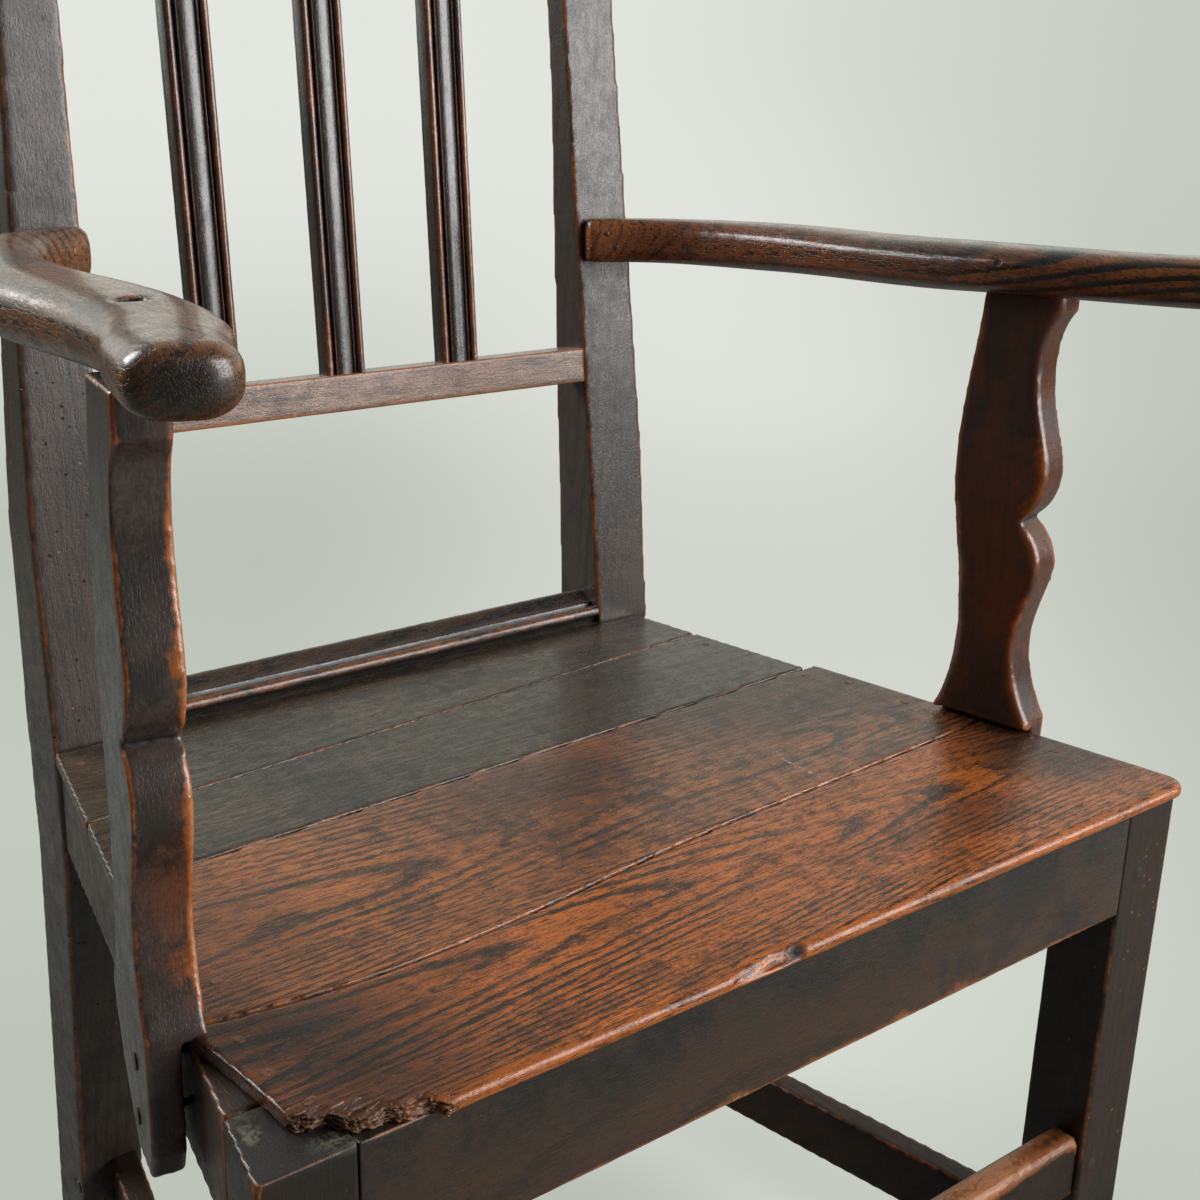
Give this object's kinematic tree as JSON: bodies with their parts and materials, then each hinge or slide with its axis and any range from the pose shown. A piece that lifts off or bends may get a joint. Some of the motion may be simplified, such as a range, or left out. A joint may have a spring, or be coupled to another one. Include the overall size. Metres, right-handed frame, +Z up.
{
  "type": "joined armchair",
  "caption": "Country open armchair with a plank seat, shaped arm supports, bowed arms, plain square legs with stretchers, and an open back of moulded upright slats.",
  "frame": {"origin": "on the floor, under the middle of the chair's overall box", "axes": "+Z up, +Y from the front of the chair to its back, +X to the right as seen from the front"},
  "size_m": [0.6066, 0.4974, 1.03],
  "materials": {
    "frame_oak": "old dark wax, worn at the edges",
    "seat_elm": "worn and polished by use",
    "arm_wood": "polished by hands",
    "peg_oak": "old wax",
    "wrought_iron": "old and dull"
  },
  "bodies": {
    "root": {"arm_end_nails": "wrought_iron", "arm_end_plug": "peg_oak", "arm_support_nails": "wrought_iron", "arm_top_peg": "peg_oak", "back_post_pegs": "peg_oak", "back_rail_pegs": "peg_oak", "crest_rail": "frame_oak", "front_leg_pegs": "peg_oak", "front_seat_board": "seat_elm", "front_seat_rail": "frame_oak", "front_stretcher": "frame_oak", "left_arm": "arm_wood", "left_arm_support": "frame_oak", "left_back_post": "frame_oak", "left_back_slat": "frame_oak", "left_front_leg": "frame_oak", "left_side_rail": "frame_oak", "left_side_stretcher": "frame_oak", "lower_back_rail": "frame_oak", "middle_back_slat": "frame_oak", "rear_seat_board": "seat_elm", "rear_seat_rail": "frame_oak", "rear_stretcher": "frame_oak", "right_arm": "arm_wood", "right_arm_support": "frame_oak", "right_back_post": "frame_oak", "right_back_slat": "frame_oak", "right_front_leg": "frame_oak", "right_side_rail": "frame_oak", "right_side_stretcher": "frame_oak", "seat_pegs": "peg_oak", "second_seat_board": "seat_elm", "shoe_moulding": "frame_oak", "stretcher_pegs": "peg_oak", "third_seat_board": "seat_elm"}
  },
  "joints": []
}
